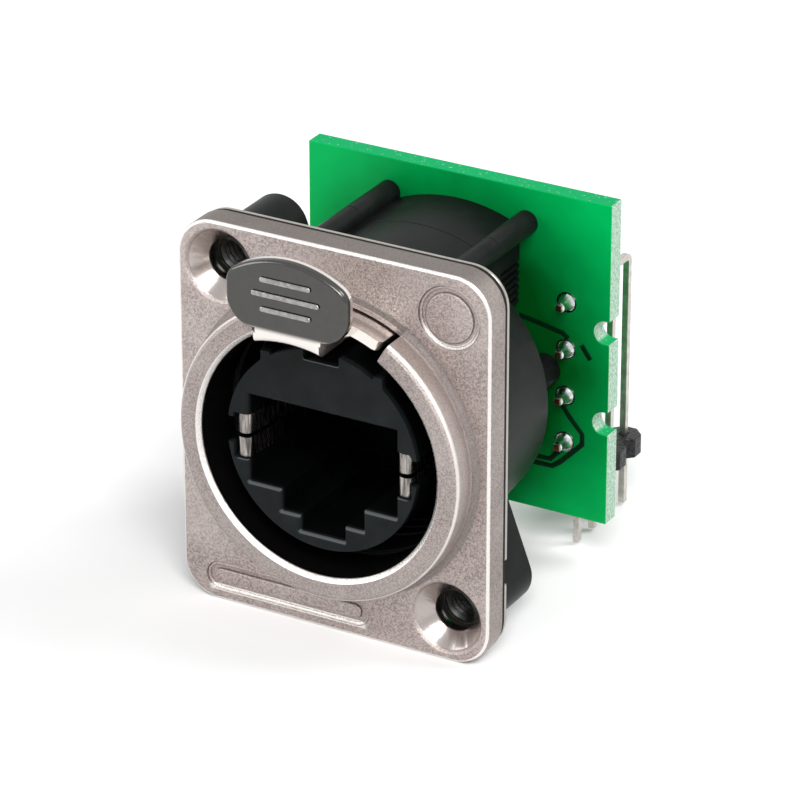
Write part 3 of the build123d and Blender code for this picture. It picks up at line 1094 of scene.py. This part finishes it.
@dataclass
class FrontShell:
    """Die-cast flange with its ring, and the two sheets behind it."""

    edge_mm: float = 0.07
    sheet_edge_mm: float = 0.04
    badge_inset: float = 3.4 * MM
    badge_radius: float = 1.95 * MM
    badge_slack: float = 0.002 * MM
    badge_edge_mm: float = 0.14
    plate_inset_x: float = 9.0 * MM
    plate_inset_z: float = 2.0 * MM
    plate_length: float = 12.6 * MM
    plate_height: float = 1.2 * MM
    plate_edge_mm: float = 0.12
    recess_depth: float = 0.2 * MM
    badge_recess: float = 5.0 * MM
    plate_recess_length: float = 14.0 * MM
    plate_recess_height: float = 2.3 * MM
    rim_wire: float = 0.14 * MM
    blank_height: float = 0.19 * MM
    face_depth: float = 2.2 * MM
    bore_radius: float = 9.85 * MM
    rim_bevel: float = 0.37 * MM

    def finish(self) -> CastNickel:
        """Finish with the countersinks where the bushes are.

        Returns:
            The flange's finish.
        """
        places = [middle(node) for node in ("screw_bush_left", "screw_bush_right")]
        screws = tuple((place.x / MM, place.z / MM) for place in places)
        rim_back_y = (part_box("flange")[0].y + self.rim_bevel) / MM
        badge, plate = ((place.x / MM, place.z / MM) for place in self.blank_places())
        return CastNickel(screws, self.bore_radius / MM, rim_back_y, badge, plate)

    def blank_places(self) -> tuple[Vector, Vector]:
        """Find the middles of the round and the long recess.

        Returns:
            Both places, on the recesses' floors.
        """
        low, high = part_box("flange")
        floor_y = self.recess_depth - self.face_depth
        badge = Vector((high.x - self.badge_inset, floor_y, high.z - self.badge_inset))
        return badge, Vector((low.x + self.plate_inset_x, floor_y, low.z + self.plate_inset_z))

    def blanks(self) -> list[Piece]:
        """Plain raised blanks in the two shallow recesses of the flange's face.

        Returns:
            The round and the long blank, and their rims.
        """
        badge, plate = self.blank_places()
        width, height = 2 * self.badge_radius, self.blank_height
        reach = (self.plate_recess_length - self.plate_recess_height) / 2
        round_end = self.badge_recess / 2 - self.rim_wire
        long_end = self.plate_recess_height / 2 - self.rim_wire
        return [
            Bench.bar(
                "badge_blank", badge, width, width - self.badge_slack, height, self.badge_edge_mm
            ),
            Bench.bar(
                "plate_blank", plate, self.plate_length, self.plate_height, height,
                self.plate_edge_mm,
            ),
            Bench.bead("badge_rim", badge, 0, round_end, self.rim_wire),
            Bench.bead("plate_rim", plate, reach, long_end, self.rim_wire),
        ]

    def build(self) -> None:
        """Build and dress the shell."""
        nickel = self.finish().material()
        shell = Bench.refined("flange", "flange_shell", self.edge_mm)
        for piece in [shell, *self.blanks()]:
            dress(piece, nickel, Body.CONNECTOR)
        rubber = Moulding(
            "sheet_rubber", (0.012, 0.011, 0.010), (0.022, 0.020, 0.019), rough=0.6
        ).material()
        gasket = Bench.refined("gasket", "gasket_sheet", self.sheet_edge_mm)
        dress(gasket, rubber, Body.CONNECTOR)
        tinned = Metal(
            "tinned_sheet", (0.47, 0.45, 0.41), (0.41, 0.39, 0.355), rough=0.24, relief=0.05
        ).material()
        sheet = Bench.refined("ground_plate", "ground_sheet", self.sheet_edge_mm)
        dress(sheet, tinned, Body.CONNECTOR)


@dataclass
class ScrewBushes:
    """Steel bushes in the two ears, with their inside threads."""

    edge_mm: float = 0.06
    bore_radius: float = 1.6 * MM
    thread_depth: float = 0.22 * MM
    thread_pitch: float = 0.5 * MM
    thread_profile: tuple[Pair, ...] = ((0.1, 0.2), (0.5, 1.0), (0.9, 0.2))

    def thread(self, node: str, name: str) -> Piece:
        """Threaded sleeve in a bush.

        Args:
            node: the bush.
            name: the sleeve's name.

        Returns:
            The sleeve.
        """
        low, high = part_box(node)
        centre = middle(node)
        turns = int((high.y - low.y) / self.thread_pitch)
        outline = [(self.bore_radius, low.y)]
        for index in range(turns):
            for along, deep in self.thread_profile:
                y = low.y + (index + along) * self.thread_pitch
                outline.append((self.bore_radius - self.thread_depth * deep, y))
        outline.append((self.bore_radius, low.y + turns * self.thread_pitch))
        outline.append((self.bore_radius, low.y))
        sleeve = Bench.spun(name, outline, centre.x, centre.z)
        Bench.smooth(sleeve, angle=30)
        return sleeve

    def build(self) -> None:
        """Build and dress the bushes."""
        steel = Metal(
            "bush_steel", (0.075, 0.078, 0.075), (0.03, 0.032, 0.031), rough=0.3
        ).material()
        nodes = ("screw_bush_left", "screw_bush_right")
        shift = middle(nodes[1]) - middle(nodes[0])
        threads = Bench.copies(
            self.thread(nodes[0], "bush_thread_left"), ["bush_thread_right"], [shift]
        )
        for node, name, thread in zip(nodes, ("bush_left", "bush_right"), threads):
            dress(Bench.refined(node, name, self.edge_mm), steel, Body.CONNECTOR)
            dress(thread, steel, Body.CONNECTOR)


@dataclass
class Moulded:
    """Black moulded barrel and block, the jack with its springs, and the comb with its contacts."""

    barrel_edge_mm: float = 0.08
    block_edge_mm: float = 0.06
    jack_edge_mm: float = 0.10
    comb_edge_mm: float = 0.04
    contact_edge_mm: float = 0.03
    spring_edge_mm: float = 0.03
    spring_slim_mm: float = 0.02
    contacts: int = 8
    deep_mm: float = 0.3

    def mouldings(self) -> None:
        """Build and dress the four mouldings."""
        black = Moulding(
            "barrel_moulding", (0.006, 0.007, 0.007), (0.011, 0.012, 0.012), rough=0.36
        ).material()
        # The jack's finish paints shade inside the jack and a highlight on its front edges.
        slate = Moulding(
            "jack_moulding", (0.0075, 0.0092, 0.0095), (0.0120, 0.0145, 0.0148), rough=0.44,
            grain_per_mm=8.0, relief=0.15, deep_y=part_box("jack_insert")[0].y / MM + self.deep_mm,
        ).material()
        for node, name, edge_mm, material, slot in (
            ("housing", "barrel", self.barrel_edge_mm, black, Slot.MOULDING),
            ("rear_block", "block", self.block_edge_mm, black, Slot.MOULDING),
            ("jack_insert", "jack", self.jack_edge_mm, slate, Slot.JACK),
            ("contact_carrier", "contact_comb", self.comb_edge_mm, slate, Slot.JACK),
        ):
            dress(Bench.refined(node, name, edge_mm), material, Body.CONNECTOR)

    def build(self) -> None:
        """Build and dress the mouldings and the metal in them."""
        self.mouldings()
        gold = Metal("contact_gold", (0.80, 0.55, 0.20), (0.62, 0.42, 0.16), rough=0.2).material()
        for index in range(1, self.contacts + 1):
            node = f"contact_{index}"
            contact = Bench.refined(node, f"gold_{node}", self.contact_edge_mm)
            dress(contact, gold, Body.CONNECTOR)
        bright = Metal(
            "spring_strip", (0.46, 0.425, 0.40), (0.07, 0.065, 0.06), rough=0.20,
            stretch=(1, 1, 0.08), mark_per_mm=5.0,
        ).material()
        for side in ("left", "right"):
            spring = Bench.refined(
                f"shield_spring_{side}", f"side_spring_{side}", self.spring_edge_mm,
                slim_mm=self.spring_slim_mm,
            )
            dress(spring, bright, Body.CONNECTOR)


@dataclass
class PushLatch:
    """Push plate with plain grip bars, its neck, band and hook in one piece."""

    bar_lengths: tuple[float, ...] = (4.2 * MM, 5.6 * MM, 4.2 * MM)
    bar_height: float = 0.42 * MM
    bar_depth: float = 0.16 * MM
    bar_edge_mm: float = 0.1
    bar_pitch: float = 1.15 * MM
    bars_above_foot: float = 1.75 * MM
    plate_height: float = 5.7 * MM
    band_front: float = -4.2 * MM
    band_end_x: float = 4.0 * MM
    band_corner: float = 0.55 * MM
    corner_steps: int = 5
    slack: float = 0.01 * MM

    def round_band(self, latch: Piece) -> None:
        """Round the two front corners of the band that lies in the flange's slot.

        Args:
            latch: the copy of the latch.
        """
        Bench.edit(latch, "EDGE")
        bpy.ops.object.mode_set(mode="OBJECT")
        corners = latch.data.vertices
        for edge in latch.data.edges:
            first, last = (corners[index].co for index in edge.vertices)
            off_front = max(abs(first.y - self.band_front), abs(last.y - self.band_front))
            rise = abs(Vector((first.x, first.z)).length - Vector((last.x, last.z)).length)
            at_end = rise > self.band_corner and abs(first.x) > self.band_end_x
            edge.select = off_front < self.slack and at_end
        bpy.ops.object.mode_set(mode="EDIT")
        bpy.ops.mesh.bevel(offset=self.band_corner, segments=self.corner_steps, affect="EDGES")
        bpy.ops.object.mode_set(mode="OBJECT")
        Bench.smooth(latch)

    def build(self) -> None:
        """Build and dress the latch."""
        low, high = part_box("latch")
        foot = high.z - self.plate_height
        nickel = PolishedNickel(low.y / MM, foot / MM).material()
        latch = Bench.refined("latch", "push_latch", width_mm=0)
        self.round_band(latch)
        dress(latch, nickel, Body.LATCH)
        rib = Metal("grip_nickel", (0.40, 0.385, 0.37), (0.26, 0.25, 0.24), rough=0.18).material()
        for index, bar_length in enumerate(self.bar_lengths):
            centre = Vector((0, low.y, foot + self.bars_above_foot + index * self.bar_pitch))
            bar = Bench.bar(
                f"grip_bar_{index + 1}", centre, bar_length, self.bar_height, self.bar_depth,
                self.bar_edge_mm,
            )
            dress(bar, rib, Body.LATCH)


@dataclass
class ReturnSpring:
    """Round-wire coil spring behind the latch's tongue, fixed to the connector's body."""

    wire_radius: float = 0.08 * MM
    coils: int = 6
    steps_a_coil: int = 24
    travel: float = 1.8 * MM

    def build(self) -> None:
        low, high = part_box("latch_spring")
        centre = middle("latch_spring")
        radius = (high.x - low.x) / 2 - self.wire_radius
        steps = self.coils * self.steps_a_coil
        rise = (high.y - low.y - 2 * self.wire_radius) / steps
        points = []
        for index in range(steps + 1):
            turn = 2 * pi * index / self.steps_a_coil
            y = low.y + self.wire_radius + rise * index
            points.append(Vector((centre.x + radius * cos(turn), y, centre.z + radius * sin(turn))))
        spring = Bench.wire("return_spring", points, self.wire_radius)
        Bench.smooth(spring, angle=60)
        wire = Metal("spring_wire", (0.62, 0.60, 0.57), (0.40, 0.39, 0.37), rough=0.22).material()
        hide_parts("latch_spring")
        dress(spring, wire, Body.CONNECTOR)
        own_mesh(spring)


@dataclass(frozen=True)
class JointShape:
    """Sizes of a solder joint with hollow sides and a round shoulder, on its pad.

    The shoulder and tip are shares of the neck and lengths past the height.
    """

    pad: float
    neck: float
    height: float
    turns: int
    pad_height: float = 0.03 * MM
    foot_height: float = 0.04 * MM
    foot_share: float = 0.84
    hollow: float = 2.4
    steps: int = 8
    shoulder_share: float = 0.62
    shoulder_height: float = 0.09 * MM
    tip_height: float = 0.10 * MM

    def outline(self, face: float, way: int) -> list[Pair]:
        """Half section from the axis at the board's face to the axis at the tip.

        Args:
            face: y of the board's face.
            way: -1 where the joint stands out to the front, 1 to the rear.

        Returns:
            The section's corners as radius and y.
        """
        corners = [(0, face), (self.pad, face), (self.pad, face + way * self.pad_height)]
        for index in range(self.steps + 1):
            share = index / self.steps
            swell = (self.pad * self.foot_share - self.neck) * (1 - share) ** self.hollow
            rise = self.foot_height + share * (self.height - self.foot_height)
            corners.append((self.neck + swell, face + way * rise))
        shoulder = face + way * (self.height + self.shoulder_height)
        corners.append((self.neck * self.shoulder_share, shoulder))
        corners.append((0, face + way * (self.height + self.tip_height)))
        return corners


@dataclass
class BoardWork:
    """Green board with its traces, pads, joints, right-angle pins and headers."""

    board_edge_mm: float = 0.05
    trace_radius: float = 0.22 * MM
    trace_flat: float = 0.16
    front_joint: JointShape = JointShape(0.83 * MM, 0.38 * MM, 1.1 * MM, 40)
    tail_joint: JointShape = JointShape(0.44 * MM, 0.20 * MM, 0.55 * MM, 24)
    tail_drop: float = 2.0 * MM
    rear_pad_height: float = 0.05 * MM
    rear_pad_slope: float = 0.03 * MM
    pin_edge_mm: float = 0.05
    pin_slim_mm: float = 0.04
    header_edge_mm: float = 0.08
    pins: int = 8
    front_routes: tuple[tuple[Pair, ...], ...] = (
        ((5.3, 3.92), (7.07, 3.64), (9.0, 3.24), (9.5, 2.9)),
        ((10.6, 2.6), (11.35, 1.55)),
        (
            (9.04, -2.7), (9.56, -3.41), (10.78, -4.79), (10.8, -5.63), (8.96, -7.51),
            (8.28, -8.02), (6.3, -8.04),
        ),
        ((5.9, -7.5), (8.1, -7.47), (8.94, -6.5)),
    )

    def trace(self, name: str, route: Sequence[Pair], side: int, y: float) -> Piece:
        """Low rounded trace along a route.

        Args:
            name: the piece's name.
            route: its corners as x and z in millimetres.
            side: 1 as given, or -1 mirrored left to right.
            y: the board face that it lies on.

        Returns:
            The trace.
        """
        points = [Vector((side * x * MM, y, z * MM)) for x, z in route]
        trace = Bench.wire(name, points, self.trace_radius)
        Bench.edit(trace, "VERT")
        bpy.ops.mesh.select_all(action="SELECT")
        bpy.ops.transform.resize(value=(1, self.trace_flat, 1), center_override=(0, y, 0))
        bpy.ops.object.mode_set(mode="OBJECT")
        Bench.smooth(trace, angle=50)
        return trace

    def joints(
        self, stem: str, shape: JointShape, places: Sequence[Vector], way: int
    ) -> list[Piece]:
        """Solder joints on one face of the board, modelled once and copied.

        Args:
            stem: the joints' name before their number.
            shape: their sizes.
            places: their middles on the board's face, in order.
            way: -1 on the front face, 1 on the rear face.

        Returns:
            The joints.
        """
        first = places[0]
        outline = shape.outline(first.y, way)
        joint = Bench.spun(f"{stem}_1", outline, first.x, first.z, shape.turns)
        Bench.smooth(joint, angle=50)
        return self.row(joint, stem, places)

    def rear_pads(self, stem: str, places: Sequence[Vector]) -> list[Piece]:
        """Flat tinned pads round the pins on the board's rear face, modelled once and copied.

        Args:
            stem: the pads' name before their number.
            places: their middles on the face, in order.

        Returns:
            The pads.
        """
        first, radius = places[0], self.front_joint.pad
        top = first.y + self.rear_pad_height
        outline = [(0, first.y), (radius, first.y), (radius - self.rear_pad_slope, top), (0, top)]
        pad = Bench.spun(f"{stem}_1", outline, first.x, first.z, self.front_joint.turns)
        Bench.smooth(pad, angle=30)
        return self.row(pad, stem, places)

    @staticmethod
    def row(first: Piece, stem: str, places: Sequence[Vector]) -> list[Piece]:
        """Copy the piece at the first place to the other places.

        Args:
            first: the piece.
            stem: the copies' name before their number.
            places: the first piece's place, then the copies' places.

        Returns:
            The piece and its copies.
        """
        names = [f"{stem}_{index}" for index in range(2, len(places) + 1)]
        return Bench.copies(first, names, [place - places[0] for place in places[1:]])

    def pin_places(self, y: float) -> list[Vector]:
        """Find where the pins go through the board.

        Args:
            y: the board face that the places lie on.

        Returns:
            The places in the pins' order.
        """
        places = []
        for index in range(1, self.pins + 1):
            low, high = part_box(f"board_pin_{index}")
            places.append(Vector(((low.x + high.x) / 2, y, high.z - (high.x - low.x) / 2)))
        return places

    def tail_places(self, y: float) -> list[Vector]:
        """Find where the contacts' tails go through the board, in two staggered rows.

        Args:
            y: the board face that the places lie on.

        Returns:
            The places in the contacts' order.
        """
        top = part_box("contact_1")[1].z
        places = []
        for index in range(self.pins):
            low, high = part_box(f"contact_{index + 1}")
            z = top - (high.x - low.x) / 2 - self.tail_drop * (index % 2)
            places.append(Vector(((low.x + high.x) / 2, y, z)))
        return places

    def solder_work(self, front_y: float, rear_y: float) -> None:
        """Build and dress the joints and pads.

        Args:
            front_y: y of the board's front face.
            rear_y: y of its rear face.
        """
        shiny = Metal(
            "bright_solder", (0.80, 0.84, 0.83), (0.52, 0.58, 0.56), rough=0.12,
            mark_per_mm=1.6, relief=0.8,
        ).material()
        joints = self.joints("joint", self.front_joint, self.pin_places(front_y), -1)
        for joint in joints:
            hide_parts("solder_joints")
        pads = self.rear_pads("rear_pad", self.pin_places(rear_y))
        tails = self.joints("tail_joint", self.tail_joint, self.tail_places(rear_y), 1)
        for piece in (*joints, *pads, *tails):
            dress(piece, shiny, Body.CONNECTOR)

    def build(self) -> None:
        """Build and dress the board and all on it."""
        low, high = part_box("circuit_board")
        board = Bench.refined("circuit_board", "green_board", self.board_edge_mm, steps=1)
        dress(board, BoardLaminate().material(), Body.CONNECTOR)
        mask = TraceMask().material()
        for side, word in ((1, "right"), (-1, "left")):
            for index, route in enumerate(self.front_routes, start=1):
                piece = self.trace(f"trace_{word}_{index}", route, side, low.y)
                dress(piece, mask, Body.CONNECTOR)
        tin = PinTin(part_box("board_pin_1")[0].y / MM).material()
        for index in range(1, self.pins + 1):
            pin = Bench.refined(
                f"board_pin_{index}", f"square_pin_{index}", self.pin_edge_mm,
                slim_mm=self.pin_slim_mm,
            )
            dress(pin, tin, Body.CONNECTOR)
        self.solder_work(low.y, high.y)
        black = Moulding(
            "header_moulding", (0.002, 0.002, 0.003), (0.016, 0.016, 0.018), rough=0.30,
            grain_per_mm=3.2, relief=1.0, relief_mm=0.40, cloud_per_mm=2.6, gloss=0.3,
        ).material()
        for side in ("left", "right"):
            header = Bench.refined(f"pin_header_{side}", f"header_{side}", self.header_edge_mm)
            dress(header, black, Body.CONNECTOR)


@dataclass(frozen=True)
class Lamp:
    """One soft square lamp that faces the object: place and side in metres, power in watts."""

    name: str
    place: tuple[float, float, float]
    size: float
    power: float

    def hang(self, aim: Vector) -> None:
        """Add the lamp to the scene.

        Args:
            aim: the place that it faces.
        """
        data = bpy.data.lights.new(self.name, "AREA")
        data.shape = "SQUARE"
        data.size = self.size
        data.energy = self.power
        lamp = bpy.data.objects.new(self.name, data)
        bpy.context.scene.collection.objects.link(lamp)
        lamp.location = self.place
        lamp.rotation_euler = (Vector(self.place) - aim).to_track_quat("Z", "Y").to_euler()


@dataclass
class Studio:
    """Pale floor, soft lamps and the camera at the photograph's angle."""

    azimuth: float = radians(29.402)
    elevation: float = radians(25.731)
    distance: float = 347.8 * MM
    aim: Vector = Vector((4.388 * MM, 0, 3.569 * MM))
    focal_px: float = 4798.9
    frame_px: float = 800.0
    sensor: float = 36.0
    clip: Pair = (0.01, 10.0)
    floor_size: float = 8.0
    floor_colour: tuple[float, ...] = (0.93, 0.93, 0.93, 1.0)
    soft_level: float = 0.42
    lamps: tuple[Lamp, ...] = (
        Lamp("key_lamp", (0.45, -0.65, 0.75), 0.5, 9.0),
        Lamp("fill_lamp", (-0.75, -0.45, 0.35), 0.5, 3.0),
        Lamp("back_lamp", (0.55, 0.35, 0.7), 0.4, 4.0),
    )

    def camera(self) -> None:
        """Set the camera."""
        a, e = self.azimuth, self.elevation
        back = Vector((sin(a) * cos(e), -cos(a) * cos(e), sin(e)))
        data = bpy.data.cameras.new("studio_camera")
        data.sensor_width = self.sensor
        data.lens = self.focal_px * self.sensor / self.frame_px
        data.clip_start, data.clip_end = self.clip
        camera = bpy.data.objects.new("studio_camera", data)
        bpy.context.scene.collection.objects.link(camera)
        camera.location = self.aim + back * self.distance
        camera.rotation_mode = "QUATERNION"
        camera.rotation_quaternion = (-back).to_track_quat("-Z", "Y")
        bpy.context.scene.camera = camera

    def floor(self) -> None:
        """Lay the pale floor under the flange's lower edge."""
        Bench.clear()
        low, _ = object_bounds()
        bpy.ops.mesh.primitive_plane_add(size=self.floor_size, location=(0, 0, low.z))
        floor = Bench.named("studio_floor")
        bpy.ops.object.transform_apply(location=True, rotation=True, scale=True)
        book = NodeBook.new("studio_floor")
        book.close(book.node("ShaderNodeBsdfDiffuse", values={"Color": self.floor_colour}))
        floor.data.materials.append(book.owner)
        floor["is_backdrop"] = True

    def world(self) -> None:
        """White for the camera, gloss and glass, and a plain soft level for the rest."""
        world = bpy.data.worlds.new("studio_world")
        bpy.context.scene.world = world
        book = NodeBook(world)
        seen, glossy, through = (
            book.node("ShaderNodeLightPath", output=f"Is {kind} Ray")
            for kind in ("Camera", "Glossy", "Transmission")
        )
        level = {"Color": WHITE, "Strength": self.soft_level}
        soft = book.node("ShaderNodeBackground", values=level)
        white = book.node("ShaderNodeBackground", values={"Color": WHITE})
        share = seen.larger(glossy.larger(through))
        mixed = book.node("ShaderNodeMixShader", values={0: share, 1: soft, 2: white})
        book.close(mixed, "ShaderNodeOutputWorld")

    def build(self) -> None:
        """Set up the whole studio."""
        bpy.context.scene.view_settings.view_transform = "Standard"
        self.world()
        self.floor()
        for lamp in self.lamps:
            lamp.hang(self.aim)
        self.camera()


def main() -> None:
    """Build the connector's looks in order."""
    logging.basicConfig(level=logging.INFO, format="%(message)s")
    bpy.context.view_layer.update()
    for group in (FrontShell(), ScrewBushes(), Moulded(), PushLatch(), ReturnSpring(), BoardWork()):
        LOG.info("building %s", type(group).__name__)
        group.build()
    Studio().build()


if __name__ == "__main__":
    main()
